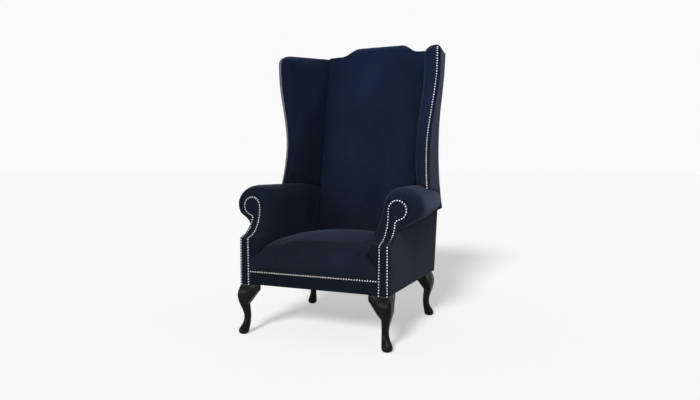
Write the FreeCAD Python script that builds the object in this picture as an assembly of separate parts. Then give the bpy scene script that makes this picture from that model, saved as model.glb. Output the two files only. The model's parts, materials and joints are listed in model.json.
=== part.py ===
import FreeCAD, Part
import math
import os

# High-back wing armchair: hardwood frame, sprung seat, velvet upholstery, nail trim and cabriole legs.
# Millimetres. The chair faces -Y and +X is the sitter's left. Shapes are drawn with Y measured back from the
# plane of the arm fronts, and are moved at the end so that the origin is on the floor under the middle.

V = FreeCAD.Vector

# Overall places
FRONT_REACH = -12.0       # the most forward point, the lip of the seat
REAR_REACH = 864.0        # the most rearward point, the top of the outside back
Y_MIDDLE = (FRONT_REACH + REAR_REACH) / 2
BODY_BOTTOM = 223.0       # underside of the upholstery, the height of the legs
FRAME_BOTTOM = BODY_BOTTOM + 2.0
RAIL_TOP = 318.0
RAIL_THICK = 26.0
REAR_RAIL_Y = 626.0
PANEL_THICK = 3.5         # covering on card or hessian
GAP = 0.5                 # room left between neighbouring pieces

# Arm fronts
STUD_OUTER_X = 340.0
STUD_INNER_X = 301.5
SIDE_X = STUD_OUTER_X + 5.0
KINK_Z = 424.0            # where the arm front turns from upright to swept back
SWEEP_RADIUS = 120.0
SWEEP_DEPTH = 100.0       # how far the scroll stands behind the lower front
SWEEP_CENTRE_Y = SWEEP_DEPTH - SWEEP_RADIUS
SWEEP_CENTRE_Z = KINK_Z + math.sqrt(SWEEP_RADIUS ** 2 - SWEEP_CENTRE_Y ** 2)
NECK_Z = 512.0
LOOP_X = 345.5
LOOP_Z = 558.0
LOOP_RADIUS = 40.0
FACING_TOP = LOOP_Z + LOOP_RADIUS + 60.0
STUMP_THICK = 27.0        # board behind the arm front

# Arm rolls, which taper from front to rear: the arm's inner, top and outer places and the bore for its frame
ROLL_FRONT = {"y": 104.0, "inner_x": 265.0, "inner_z": 567.0, "top_x": 350.0, "outer_x": 446.0,
              "outer_z": 567.0, "neck_z": 478.0, "bulge_x": 247.0,
              "bore_x": LOOP_X, "bore_z": LOOP_Z, "bore": LOOP_RADIUS + 2.0}
ROLL_REAR = {"y": 690.0, "inner_x": 257.0, "inner_z": 598.0, "top_x": 307.0, "outer_x": 366.0,
             "outer_z": 545.0, "neck_z": 514.0, "bulge_x": 258.0,
             "bore_x": 306.0, "bore_z": 590.0, "bore": 26.0}
ARM_TOP = 651.0
ARM_EDGE = 40.0           # how far the front edge of the arm pad is drawn in
FOOT_EDGE_DEPTH = 40.0    # over this depth beside the seat
ROLL_EDGE_DEPTH = 78.0    # and over this depth round the roll
ARM_FOOT_Z = 302.0
ARM_BACK_Y = 660.0        # where the inside of the arm ends behind the inside back

# Seat
BORDER_STUD_Z = 280.0
BORDER_TOP = BORDER_STUD_Z + 5.0
SEAT_HALF_WIDTH = 244.0
LIP_HALF_WIDTH = STUD_INNER_X - 5.0
SEAT_CROWN_Z = 437.0
SEAT_EDGE_Z = 411.0
SEAT_PAD_BOTTOM = 330.0
LIP_Z = 318.0             # height of the foremost line of the seat
SEAT_SLOPE = math.radians(9.65)   # slope of the seat where its front arc runs into the crown

# Back
REAR_FOOT_Y = 665.0       # outside back at the bottom of the body
REAR_RAKE = 0.177
INSIDE_BACK_Y = 565.0     # inside back where it meets the seat
INSIDE_BACK_Z = 410.0
INSIDE_RAKE = 0.258
BACK_CROWN = 16.0
POST_DEPTH = 32.0
POST_X = 289.0            # inner face of the back posts
POST_WIDTH = 37.0
CREST_Z = 1368.0
CREST_Y = 834.0           # the ridge of the crest, which rolls back as it rises
SHOULDER_Y = 795.0
SHOULDER_Z = 1326.0
CREST_HALF_WIDTH = 122.0
SHOULDER_X = 210.0
BACK_HALF_WIDTH = 290.0
SEAM_LOW_X = 258.0        # half width of the inside back just above the arms
ARM_SEAM_X = 253.0        # and between the arms
WAIST_X = 331.0           # half width of the outside back at its narrowest

# Wings
WING_WAIST_Z = 820.0
WING_WAIST_X = 371.0
WING_FULL_Z = 1215.0
WING_FLARE = 47.0
WING_FRONT_Y = 472.0
WING_NOSE = 13.0          # how far the padded edge stands in front of its nails
WING_TOP_SLOPE = 0.083
WING_CORNER_RADIUS = 62.0  # how far the front corner of the top is drawn back
WING_CAP_RADIUS = 40.0    # how far the top is rounded over
WING_CAP_INNER = 28.0     # and drawn in on the inside
WING_CAP_OUTER = 10.0     # and on the outside
WING_FOOT_Z = 600.0       # the wings start inside the arm rolls, which are then cut away
WING_SKIN = 22.0          # depth of the stuffing on the inside of a wing
WING_CAP_Z = 1251.0       # underside of the stuffing over the top of a wing

# Nails
STUD_PITCH = 11.5
STUD_RADIUS = 4.6
STUD_HEIGHT = 2.8

# Legs
LEG_TOP = BODY_BOTTOM - GAP
LEG_BLOCK_X = 315.5
FRONT_LEG_Y = 29.5
REAR_LEG_X = 304.0
REAR_LEG_Y = 634.0
GLIDE_RADIUS = 11.0
GLIDE_HEIGHT = 4.0
BOLT_RADIUS = 4.0


def smooth(t):
    """Eased step from 0 to 1."""
    t = max(0.0, min(1.0, t))
    return t * t * (3 - 2 * t)


def mix(a, b, t):
    return a + (b - a) * t


def rear_y(z):
    """Outside face of the raked back."""
    return REAR_FOOT_Y + REAR_RAKE * (z - BODY_BOTTOM)


def inside_back_y(z):
    """Front of the inside back at its side seams."""
    return INSIDE_BACK_Y + INSIDE_RAKE * (z - INSIDE_BACK_Z)


def face_y(z):
    """Front of the arm: upright, swept back on an arc, then upright again."""
    if z <= KINK_Z:
        return 0.0
    if z >= SWEEP_CENTRE_Z:
        return SWEEP_DEPTH
    return SWEEP_CENTRE_Y + math.sqrt(SWEEP_RADIUS ** 2 - (SWEEP_CENTRE_Z - z) ** 2)


def seam_x(z):
    """Half width of the inside back where it meets the wings."""
    return mix(SEAM_LOW_X, BACK_HALF_WIDTH, max(0.0, (z - ARM_TOP) / (SHOULDER_Z - ARM_TOP)))


def wing_x(z):
    """Outer front edge of a wing, seen from the front."""
    below = max(0.0, (WING_WAIST_Z - z) / 180.0)
    above = smooth((z - WING_WAIST_Z) / (WING_FULL_Z - WING_WAIST_Z))
    return WING_WAIST_X + WING_FLARE * above + 12.0 * min(1.3, below) ** 2


def wing_y(z):
    """Outer front edge of a wing, seen from the side."""
    return WING_FRONT_Y - 45.0 * min(1.3, max(0.0, (1000.0 - z) / 360.0)) ** 2


def wing_inner_x(z):
    return wing_x(z) - mix(66.0, 78.0, smooth((z - WING_WAIST_Z) / (WING_FULL_Z - WING_WAIST_Z)))


def back_half_width(z):
    """Outline of the outside back, which widens downwards over the ends of the arm rolls."""
    top = 12.0 * smooth((z - 950.0) / 280.0)
    return WAIST_X + top + 37.0 * max(0.0, (950.0 - z) / 420.0) ** 2.2


def panel_x(y, z):
    """Outside face of a wing, straight from its nails to the corner of the back."""
    y0 = wing_y(z) + 4.0
    return mix(wing_x(z), back_half_width(z), (y - y0) / (rear_y(z) - PANEL_THICK - GAP - y0))


def edge_round(depth, reach):
    """How far a padded front edge is drawn in at a depth behind the front, on a quarter of an ellipse."""
    left = 1 - max(0.0, min(1.0, depth / reach))
    return ARM_EDGE * (1 - math.sqrt(1 - left * left))


def roll_at(y):
    """The arm's section at a depth. The outside of the roll keeps its fullness longer than the rest."""
    t = max(0.0, (y - ROLL_FRONT["y"]) / (ROLL_REAR["y"] - ROLL_FRONT["y"]))
    s = {k: mix(ROLL_FRONT[k], ROLL_REAR[k], t) for k in ROLL_FRONT}
    s["outer_x"] = mix(ROLL_FRONT["outer_x"], ROLL_REAR["outer_x"], t ** 1.5)
    return s


def line(a, b):
    return Part.LineSegment(a, b).toShape()


def arc(a, b, c):
    return Part.Arc(a, b, c).toShape()


def tangent_arc(start, ahead, end):
    """An arc that leaves start in the direction ahead, which has a length of 1, and runs to end."""
    chord = end - start
    side = chord - ahead * chord.dot(ahead)
    turn = math.atan2(side.Length, chord.dot(ahead))
    side = side.normalize()
    reach = chord.Length / (2 * math.cos(turn / 2))
    middle = start + (ahead * math.cos(turn / 2) + side * math.sin(turn / 2)) * reach
    return arc(start, middle, end)


def polygon(points):
    return Part.makePolygon(points + points[:1])


def box(x, y, z):
    """A block from three (low, high) pairs."""
    return Part.makeBox(x[1] - x[0], y[1] - y[0], z[1] - z[0], V(x[0], y[0], z[0]))


def prism(wire, direction):
    return Part.Face(wire).extrude(direction)


def side_prism(points, x0, x1):
    """A (y, z) outline pulled out along X."""
    return prism(polygon([V(x0, y, z) for y, z in points]), V(x1 - x0, 0, 0))


def front_prism(points, y0, y1):
    """An (x, z) outline pulled out along Y."""
    return prism(polygon([V(x, y0, z) for x, z in points]), V(0, y1 - y0, 0))


def loft(wires, ruled=False):
    """A solid through closed outlines, turned right side out."""
    solid = Part.makeLoft(wires, True, ruled)
    if solid.Volume < 0:
        solid.reverse()
    return solid


def mirrored(shape):
    return shape.mirror(V(0, 0, 0), V(1, 0, 0))


def both_sides(name, shape, parts):
    """The drawn side is the sitter's left, +X."""
    parts["left_" + name] = shape
    parts["right_" + name] = mirrored(shape)


# Arm fronts: the outline of the keyhole facing and the swept front surface

def facing_outline(grow, y=0.0, bottom=BODY_BOTTOM):
    """Keyhole outline of the arm front in the XZ plane, grown beyond the nail lines."""
    r = LOOP_RADIUS + grow
    outer = STUD_OUTER_X + grow
    inner = STUD_INNER_X - grow

    def on_loop(degrees):
        a = math.radians(degrees)
        return V(LOOP_X + r * math.cos(a), y, LOOP_Z + r * math.sin(a))

    low_outer = V(outer, y, bottom)
    neck = V(outer, y, NECK_Z - grow)
    low_inner = V(inner, y, bottom)
    start = on_loop(-58)
    end = on_loop(180)
    return [
        line(low_outer, neck),
        line(neck, start),
        arc(start, on_loop(0), on_loop(75)),
        arc(on_loop(75), on_loop(130), end),
        line(end, low_inner),
        line(low_inner, low_outer),
    ]


def swept_front(offset, z0, z1):
    """The arm front's profile in the YZ plane, moved back by offset, as edges going up."""
    kink = V(0, offset, KINK_Z)
    top = V(0, SWEEP_DEPTH + offset, SWEEP_CENTRE_Z)
    middle_z = mix(KINK_Z, SWEEP_CENTRE_Z, 0.4)
    middle = V(0, face_y(middle_z) + offset, middle_z)
    return [
        line(V(0, offset, z0), kink),
        arc(kink, middle, top),
        line(top, V(0, SWEEP_DEPTH + offset, z1)),
    ]


def behind_front(offset, y_rear, x0, x1):
    """Everything between the arm front moved back by offset and a plane at y_rear."""
    z0 = BODY_BOTTOM - 10.0
    edges = swept_front(offset, z0, FACING_TOP)
    edges.append(line(V(0, SWEEP_DEPTH + offset, FACING_TOP), V(0, y_rear, FACING_TOP)))
    edges.append(line(V(0, y_rear, FACING_TOP), V(0, y_rear, z0)))
    edges.append(line(V(0, y_rear, z0), V(0, offset, z0)))
    solid = prism(Part.Wire(edges), V(x1 - x0, 0, 0))
    solid.translate(V(x0, 0, 0))
    return solid


def front_band(offset, thick, x0, x1):
    """A sheet of even depth that follows the swept arm front."""
    far = 400.0
    return behind_front(offset, far, x0, x1).cut(behind_front(offset + thick, far + 10.0, x0 - 1, x1 + 1))


def facing_piece(offset, thick, grow, bottom):
    outline = prism(Part.Wire(facing_outline(grow, -50.0, bottom)), V(0, 400, 0))
    return outline.common(front_band(offset, thick, 200.0, 450.0))


def make_arm_facing():
    return facing_piece(0.0, PANEL_THICK, 3.5, BODY_BOTTOM)


def make_arm_stump():
    return facing_piece(PANEL_THICK + GAP, STUMP_THICK, -2.0, FRAME_BOTTOM)


# Arms

EDGE_STEPS = (0.0, 0.035, 0.14, 0.32, 0.6, 1.0)
ROLL_STATIONS = [PANEL_THICK + GAP + FOOT_EDGE_DEPTH * d for d in EDGE_STEPS]
ROLL_STATIONS += [ROLL_FRONT["y"] + ROLL_EDGE_DEPTH * d for d in EDGE_STEPS]
ROLL_STATIONS += [240.0, 360.0, 460.0, 560.0, 630.0, ROLL_REAR["y"], ROLL_REAR["y"] + 60.0]


def roll_edges(y, soft):
    """Over the arm from its inside to the neck under the roll, with the front edge drawn in by soft."""
    s = roll_at(y)
    k = math.sqrt(0.5)
    top = V(s["top_x"], y, ARM_TOP - soft)
    shoulder = V(s["inner_x"] + soft, y, s["inner_z"])
    outer = V(s["outer_x"] - soft, y, s["outer_z"])
    reach = outer.x - top.x
    drop = s["outer_z"] - s["neck_z"]
    under = V(top.x + 0.85 * reach, y, outer.z - 0.5 * drop)
    neck = V(SIDE_X + 1.0, y, s["neck_z"])
    return [
        arc(shoulder, V(mix(top.x, shoulder.x, k), y, mix(shoulder.z, top.z, k)), top),
        arc(top, V(mix(top.x, outer.x, k), y, mix(outer.z, top.z, k)), outer),
        arc(outer, V(top.x + 0.965 * reach, y, outer.z - 0.25 * drop), under),
        line(under, neck),
    ]


def hook_section(y):
    """Section of an arm pad: up the inside, over the roll and under it to the neck, bored for the frame."""
    s = roll_at(y)
    low_soft = edge_round(y - PANEL_THICK - GAP, FOOT_EDGE_DEPTH)
    over = roll_edges(y, edge_round(y - ROLL_FRONT["y"], ROLL_EDGE_DEPTH))
    shoulder = over[0].Vertexes[0].Point
    neck = over[-1].Vertexes[1].Point
    lap = STUD_OUTER_X + 2.5

    def bore(degrees):
        a = math.radians(degrees)
        return V(s["bore_x"] + s["bore"] * math.cos(a), y, s["bore_z"] + s["bore"] * math.sin(a))

    stuff_x = bore(180).x - 2.0
    foot = V(min(s["bulge_x"] + 48.0 + low_soft, stuff_x - 2.0), y, ARM_FOOT_Z)
    hip = V(s["bulge_x"] + 6.0 + low_soft, y, 470.0)
    neck_in = V(lap, y, s["neck_z"] + 1.0)
    turn = math.degrees(math.acos(max(-1.0, min(1.0, (lap - s["bore_x"]) / s["bore"]))))
    bore_start = bore(-turn)
    return Part.Wire([
        arc(foot, V(s["bulge_x"] + low_soft, y, 388.0), hip),
        line(hip, shoulder),
    ] + over + [
        line(neck, neck_in),
        line(neck_in, bore_start),
        arc(bore_start, bore(20), bore(95)),
        arc(bore(95), bore(140), bore(180)),
        line(bore(180), V(stuff_x, y, ARM_FOOT_Z)),
        line(V(stuff_x, y, ARM_FOOT_Z), foot),
    ])


def roll_envelope():
    """The arm's outer form, solid, for trimming what stands on it."""
    wires = []
    for y in ROLL_STATIONS[-8:]:
        over = roll_edges(y, -GAP)
        first = over[0].Vertexes[0].Point
        last = over[-1].Vertexes[1].Point
        wires.append(Part.Wire(over + [line(last, first)]))
    return loft(wires, True)


def before_back(depth):
    """Everything in front of the outside back, less a depth."""
    z0, z1 = 200.0, 1500.0
    outline = [(-100.0, z0), (rear_y(z0) - depth, z0), (rear_y(z1) - depth, z1), (-100.0, z1)]
    return side_prism(outline, 150.0, 480.0)


def make_arm_pad(inside):
    """Arm pad, cut clear of the frame pieces inside it."""
    pad = loft([hook_section(y) for y in ROLL_STATIONS], True)
    pad = pad.common(behind_front(PANEL_THICK + GAP, 1000.0, 200.0, 460.0))
    pad = pad.common(before_back(PANEL_THICK + GAP))
    pad = pad.cut(box((200.0, 328.0), (ARM_BACK_Y, 900.0), (250.0, 700.0)))
    return pad.cut(inside)


def make_arm_board():
    """Top rail of the arm, from the scroll to the back post."""
    front = SWEEP_DEPTH + PANEL_THICK + GAP + STUMP_THICK
    rear = rear_y(577.0) - POST_DEPTH - PANEL_THICK - 2 * GAP
    wires = []
    for y, half in ((front, 28.0), (rear, 16.0)):
        s = roll_at(y)
        x, z = s["bore_x"], s["bore_z"]
        wires.append(polygon([V(x - half, y, z - 13.0), V(x + half, y, z - 13.0),
                              V(x + half, y, z + 13.0), V(x - half, y, z + 13.0)]))
    return loft(wires, True)


def make_arm_tack_rail():
    """Lower arm rail that the inside arm is drawn down to, from the stump to the raked post."""
    front = PANEL_THICK + STUMP_THICK + 2 * GAP
    depth = POST_DEPTH + PANEL_THICK + 2 * GAP
    z0, z1 = 345.0, 380.0
    outline = [(front, z0), (rear_y(z0) - depth, z0), (rear_y(z1) - depth, z1), (front, z1)]
    return side_prism(outline, 310.0, 334.0)


def make_outside_arm():
    """Outside covering of an arm, up to the underside of the roll."""
    rear = PANEL_THICK + GAP
    low_top = ROLL_FRONT["neck_z"] - GAP
    high_top = ROLL_REAR["neck_z"] - 2.0
    panel = side_prism([(-5.0, BODY_BOTTOM), (rear_y(BODY_BOTTOM) - rear, BODY_BOTTOM),
                        (rear_y(high_top) - rear, high_top), (ROLL_FRONT["y"], low_top), (-5.0, low_top)],
                       SIDE_X - PANEL_THICK, SIDE_X)
    return panel.common(behind_front(PANEL_THICK + GAP, 1000.0, 300.0, 400.0))


# Seat

def upright_arc(fore, end, towards=False):
    """An arc that leaves the foremost point straight up or down and runs to end, or from end towards it."""
    dy = end.y - fore.y
    dz = end.z - fore.z
    radius = (dy * dy + dz * dz) / (2 * dy)
    half = math.atan2(abs(dz), radius - dy) / 2
    rise = math.copysign(radius * math.sin(half), dz)
    middle = V(fore.x, fore.y + radius * (1 - math.cos(half)), fore.z + rise)
    if towards:
        return arc(end, middle, fore)
    return arc(fore, middle, end)


def seat_section(x):
    """Side view of the sprung seat pad at a distance from the middle: front lip, crown and flat underside."""
    share = (x / SEAT_HALF_WIDTH) ** 2
    crown = mix(SEAT_CROWN_Z, SEAT_EDGE_Z, share)
    rear = INSIDE_BACK_Y - BACK_CROWN - 11.0
    low = BORDER_TOP + 2.0
    face = RAIL_THICK - 3.0

    def at(y, z):
        return V(x, y, z)

    fore = at(FRONT_REACH, LIP_Z)
    radius = (crown - 20.0 - LIP_Z) / math.cos(SEAT_SLOPE)
    top = at(FRONT_REACH + radius * (1 - math.sin(SEAT_SLOPE)), crown - 20.0)
    return Part.Wire([
        upright_arc(fore, at(0.0, low), True),
        upright_arc(fore, top),
        arc(top, at(290.0, crown), at(rear, crown - 22.0)),
        line(at(rear, crown - 22.0), at(rear, SEAT_PAD_BOTTOM)),
        line(at(rear, SEAT_PAD_BOTTOM), at(face, SEAT_PAD_BOTTOM)),
        line(at(face, SEAT_PAD_BOTTOM), at(face, low)),
        line(at(face, low), at(0.0, low)),
    ])


def lip_section(x, top, bulge):
    """The front lip beside the main pad, under the foot of an arm, lapping over the front rail."""
    low = BORDER_TOP + 2.0
    face = RAIL_THICK - 3.0
    lap = 2 * RAIL_THICK - 3.0
    ledge = RAIL_TOP + GAP
    return Part.Wire([
        arc(V(x, 0.0, low), V(x, -bulge, mix(low, top, 0.5)), V(x, 1.0, top)),
        line(V(x, 1.0, top), V(x, lap, top)),
        line(V(x, lap, top), V(x, lap, ledge)),
        line(V(x, lap, ledge), V(x, face, ledge)),
        line(V(x, face, ledge), V(x, face, low)),
        line(V(x, face, low), V(x, 0.0, low)),
    ])


def make_seat_pad(arm_pad):
    """Sprung seat, with its front lip running out under the feet of the arms."""
    stations = [SEAT_HALF_WIDTH * k / 3.0 for k in range(-3, 4)]
    pad = loft([seat_section(x) for x in stations])
    ear = loft([lip_section(SEAT_HALF_WIDTH, 368.0, 11.0), lip_section(272.0, 350.0, 8.0),
                lip_section(LIP_HALF_WIDTH, 336.0, 4.0)], True).cut(arm_pad)
    return pad.fuse([ear, mirrored(ear)]).removeSplitter()


def make_front_border():
    """Covered strip over the front rail, a little full below its nails."""
    x = -LIP_HALF_WIDTH
    back = RAIL_THICK - 3.0
    turn = BORDER_STUD_Z - 10.0
    middle = (BODY_BOTTOM + turn) / 2
    edges = [
        arc(V(x, 0, BODY_BOTTOM), V(x, -3.0, middle), V(x, 0, turn)),
        line(V(x, 0, turn), V(x, 0, BORDER_TOP)),
        line(V(x, 0, BORDER_TOP), V(x, back, BORDER_TOP)),
        line(V(x, back, BORDER_TOP), V(x, back, BODY_BOTTOM)),
        line(V(x, back, BODY_BOTTOM), V(x, 0, BODY_BOTTOM)),
    ]
    return prism(Part.Wire(edges), V(2 * LIP_HALF_WIDTH, 0, 0))


# Back

def crest_z(x):
    """Serpentine top of the back: level middle, ogee shoulders."""
    t = (abs(x) - CREST_HALF_WIDTH) / (SHOULDER_X - CREST_HALF_WIDTH)
    return mix(CREST_Z, SHOULDER_Z, smooth(t))


def back_section(x):
    """Side view of the inside back pad, which rolls over the crest rail to the outside."""
    top = crest_z(x)
    rise = (top - SHOULDER_Z) / (CREST_Z - SHOULDER_Z)
    crown = BACK_CROWN * (1 - (x / BACK_HALF_WIDTH) ** 2)
    low = SEAT_EDGE_Z - 20.0
    face_top = top - mix(22.0, 42.0, rise)
    behind = POST_DEPTH + PANEL_THICK + 4.0
    ledge = top - 24.0

    def front(z):
        return V(x, inside_back_y(z) - crown, z)

    lumbar = front(mix(low, face_top, 0.45))
    lumbar.y -= 8.0
    start = front(face_top)
    ridge = V(x, mix(SHOULDER_Y, CREST_Y, rise), top)
    middle = V(x, mix(start.y, ridge.y, 0.3), mix(start.z, ridge.z, 0.68))
    rear = rear_y(ledge) - PANEL_THICK - GAP
    return Part.Wire([
        arc(front(low), lumbar, start),
        arc(start, middle, ridge),
        line(ridge, V(x, rear, top - 5.0)),
        line(V(x, rear, top - 5.0), V(x, rear, ledge)),
        line(V(x, rear, ledge), V(x, rear_y(ledge) - behind, ledge)),
        line(V(x, rear_y(ledge) - behind, ledge), V(x, rear_y(low) - behind, low)),
        line(V(x, rear_y(low) - behind, low), front(low)),
    ])


def make_inside_back():
    span = BACK_HALF_WIDTH + 8.0
    steps = 14
    pad = loft([back_section(span * k / steps) for k in range(-steps, steps + 1)])
    right = [(ARM_SEAM_X, 300.0), (ARM_SEAM_X, ARM_TOP)]
    right += [(seam_x(z) - GAP, z) for z in (ARM_TOP, CREST_Z + 40.0)]
    left = [(-x, z) for x, z in reversed(right)]
    return pad.common(front_prism(right + left, 300.0, 1000.0))


def raked_slab(front, rear, z0, z1, x0, x1):
    """A board parallel to the outside back, between two depths in front of it."""
    return side_prism([(rear_y(z0) - front, z0), (rear_y(z0) - rear, z0),
                       (rear_y(z1) - rear, z1), (rear_y(z1) - front, z1)], x0, x1)


def make_outside_back():
    step = SIDE_X
    levels = [SHOULDER_Z - 12.0 - k * 60.0 for k in range(13)] + [528.0]
    right = [(step, BODY_BOTTOM), (step, 516.0)]
    right += [(back_half_width(z), z) for z in reversed(levels)]
    right += [(SHOULDER_X, SHOULDER_Z - 10.0), (CREST_HALF_WIDTH, CREST_Z - 12.0)]
    left = [(-x, z) for x, z in reversed(right)]
    outline = front_prism(right + left, 400.0, 1000.0)
    return outline.common(raked_slab(PANEL_THICK, 0.0, BODY_BOTTOM - 5.0, CREST_Z + 20.0, -400.0, 400.0))


def make_back_post():
    rear = PANEL_THICK + GAP
    return raked_slab(POST_DEPTH + rear, rear, FRAME_BOTTOM, WING_CAP_Z - 2.0, POST_X, POST_X + POST_WIDTH)


def make_crest_rail():
    """Shaped top rail between the posts, under the lap of the inside back."""
    drop = 28.0
    end = POST_X - 3.0
    xs = [end, SHOULDER_X, 190.0, 168.0, 145.0, CREST_HALF_WIDTH]
    right = [(x, crest_z(x) - drop) for x in xs]
    left = [(-x, z) for x, z in reversed(right)]
    low = SHOULDER_Z - 120.0
    outline = front_prism([(end, low)] + right + left + [(-end, low)], 400.0, 1000.0)
    slab = raked_slab(POST_DEPTH + PANEL_THICK + GAP, PANEL_THICK + GAP, low, CREST_Z, -end, end)
    return outline.common(slab)


def make_back_rail(z0, z1):
    front = POST_DEPTH + PANEL_THICK + GAP
    return raked_slab(front, front - 24.0, z0, z1, -POST_X, POST_X)


def make_back_webbing():
    """Stretched bands across the posts, behind the inside back."""
    bands = []
    front = POST_DEPTH + PANEL_THICK + 3.0
    for k in range(5):
        z = 500.0 + 150.0 * k
        bands.append(raked_slab(front, front - 2.0, z, z + 50.0, -POST_X - 34.0, POST_X + 34.0))
    return Part.makeCompound(bands)


# Wings

def wing_inward(z):
    """How far a level above the cap is drawn in round the top edge, from 0 to 1."""
    rise = max(0.0, min(1.0, (z - WING_CAP_Z) / WING_CAP_RADIUS))
    return 1 - math.sqrt(1 - rise * rise)


def wing_edge(z):
    """The outer front edge of a wing, which carries its nails, drawn in round the top corner."""
    base = min(z, WING_CAP_Z)
    y = wing_y(base) + WING_CORNER_RADIUS * wing_inward(z)
    return panel_x(y + 4.0, base) - WING_CAP_OUTER * wing_inward(z), y


def wing_height(z, y):
    """Height of a wing's section at a depth. The sections slope like the top of the wing as they near it."""
    base = min(z, WING_CAP_Z)
    slope = WING_TOP_SLOPE * smooth((base - 1080.0) / (WING_CAP_Z - 1080.0))
    return z + slope * (y - WING_FRONT_Y)


def wing_seam(z, y):
    """A point of a wing's section on the seam with the inside back."""
    height = wing_height(z, y)
    return V(seam_x(height) + GAP, y, height)


def wing_corner(z):
    """Where the outside covering of a wing meets the corner of the back."""
    y = rear_y(wing_height(z, rear_y(z))) - PANEL_THICK - GAP
    return V(back_half_width(min(z, WING_CAP_Z)) - 4.0 * wing_inward(z), y, wing_height(z, y))


def wing_nose(z):
    """The padded edge of a wing: both ends of its inside face, then the arcs round its inside and outside."""
    base = min(z, WING_CAP_Z)
    inward = wing_inward(z)
    outer, oy = wing_edge(z)
    inner = wing_inner_x(base) + WING_CAP_INNER * inward
    nose_y = oy - WING_NOSE * (1 - 0.5 * inward)
    tuck = wing_seam(z, inside_back_y(base) + 24.0)
    slant = (inner - tuck.x) / (tuck.y - oy - 34.0)
    corner = V(inner + slant * (oy + 34.0 - nose_y), nose_y, wing_height(z, nose_y))
    nose = V(mix(corner.x, outer, 0.5), nose_y, corner.z)
    ahead = (corner - tuck).normalize()
    start = corner - ahead * (nose.x - corner.x)
    end = V(outer - 1.0, oy + 3.0, wing_height(z, oy + 3.0))
    return tuck, start, tangent_arc(start, ahead, nose), tangent_arc(nose, V(1, 0, 0), end)


def wing_section(z):
    """Section of a whole wing: inside face, rounded nose and the line of its outside covering."""
    tuck, start, inside_arc, outside_arc = wing_nose(z)
    inset = V(PANEL_THICK + 2 * GAP, 0, 0)
    end = outside_arc.Vertexes[1].Point
    step = end + V(1, 0, 0) - inset
    corner = wing_corner(z) - inset
    seam = wing_seam(z, corner.y)
    return Part.Wire([
        line(seam, tuck),
        line(tuck, start),
        inside_arc,
        outside_arc,
        line(end, step),
        line(step, corner),
        line(corner, seam),
    ])


def wing_hollow(z):
    """Plan section of the space for the frame between a wing's stuffing and its outside covering."""
    ox, oy = wing_x(z), wing_y(z)
    sx = seam_x(z)
    tuck = inside_back_y(z) + 23.0
    rear = rear_y(z) + 5.0
    return polygon([V(wing_inner_x(z) + WING_SKIN, oy + 3.0, z), V(ox + 10.0, oy + 3.0, z),
                    V(back_half_width(z) + 10.0, rear, z), V(sx - 5.0, rear, z), V(sx - 5.0, tuck, z),
                    V(sx + WING_SKIN - 4.0, tuck, z)])


WING_STEPS = 14
WING_LEVELS = [mix(WING_FOOT_Z, WING_CAP_Z, k / WING_STEPS) for k in range(WING_STEPS + 1)]
WING_TURN = [WING_CAP_Z + WING_CAP_RADIUS * math.sin(math.radians(a)) for a in (25, 45, 62, 77, 90)]


def wing_top(y):
    return WING_CAP_Z + WING_CAP_RADIUS + WING_TOP_SLOPE * (y - WING_FRONT_Y)


def make_wing_pad(wing_board):
    """Stuffing of a wing: inside face, nose and the cap over the top rail."""
    sections = [wing_section(z) for z in WING_LEVELS + WING_TURN]
    hollow = loft([wing_hollow(z) for z in WING_LEVELS], True)
    return loft(sections, True).cut(hollow).cut(roll_envelope()).cut(wing_board)


def make_wing_board(arm_board):
    """Front upright of the wing, footed on the arm board."""
    wires = []
    for z in (WING_FOOT_Z - 14.0, 670.0, WING_WAIST_Z, 950.0, 1080.0, WING_FULL_Z, WING_CAP_Z - 2.0):
        x1 = wing_x(z) - 13.0
        if z < 650.0:
            x1 = 354.0
        x0 = x1 - 28.0
        y = wing_y(z) + 4.0
        wires.append(polygon([V(x0, y, z), V(x1, y, z), V(x1, y + 36.0, z), V(x0, y + 36.0, z)]))
    return loft(wires, True).cut(arm_board)


def make_wing_top_rail():
    """From the wing board to the back post."""
    z0, z1 = WING_CAP_Z - 36.0, WING_CAP_Z - 2.0
    front = WING_FRONT_Y + 40.5
    wires = []
    rear = rear_y(z0) - POST_DEPTH - PANEL_THICK - 2 * GAP
    for y, x in ((front, panel_x(front, z0) - 19.0), (rear, POST_X + 31.0)):
        corners = ((x - 11.0, z0), (x + 11.0, z0), (x + 11.0, z1), (x - 11.0, z1))
        wires.append(polygon([V(cx, y, cz) for cx, cz in corners]))
    return loft(wires, True)


def make_outside_wing():
    """Outside covering of a wing, from its nails to the corner of the back, down to the arm roll."""
    wires = []
    inward = V(-PANEL_THICK, 0, 0)
    for z in [538.0, 570.0] + WING_LEVELS + WING_TURN:
        x, y = wing_edge(z)
        front = V(x, y + 4.0, wing_height(z, y + 4.0))
        rear = wing_corner(z)
        wires.append(polygon([front, rear, rear + inward, front + inward]))
    low, high = 300.0, 1000.0
    below = [(low, 500.0), (high, 500.0), (high, wing_top(high) - 9.0), (low, wing_top(low) - 9.0)]
    panel = loft(wires, True).common(side_prism(below, 200.0, 460.0)).cut(roll_envelope())
    return max(panel.Solids, key=lambda s: s.Volume)


# Nails

def spaced(points, pitch):
    """Points a steady pitch apart along a fine polyline."""
    lengths = [0.0]
    for a, b in zip(points, points[1:]):
        lengths.append(lengths[-1] + a.distanceToPoint(b))
    count = int(round(lengths[-1] / pitch))
    found = []
    k = 0
    for n in range(count + 1):
        want = lengths[-1] * n / count
        while k < len(points) - 2 and lengths[k + 1] < want:
            k += 1
        t = (want - lengths[k]) / max(1e-9, lengths[k + 1] - lengths[k])
        found.append(points[k] + (points[k + 1] - points[k]) * min(1.0, t))
    return found


def stud(at, normal):
    """Head of one upholstery nail, sitting on the cloth."""
    return Part.makeCone(STUD_RADIUS, STUD_RADIUS * 0.45, STUD_HEIGHT, at, normal)


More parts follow.
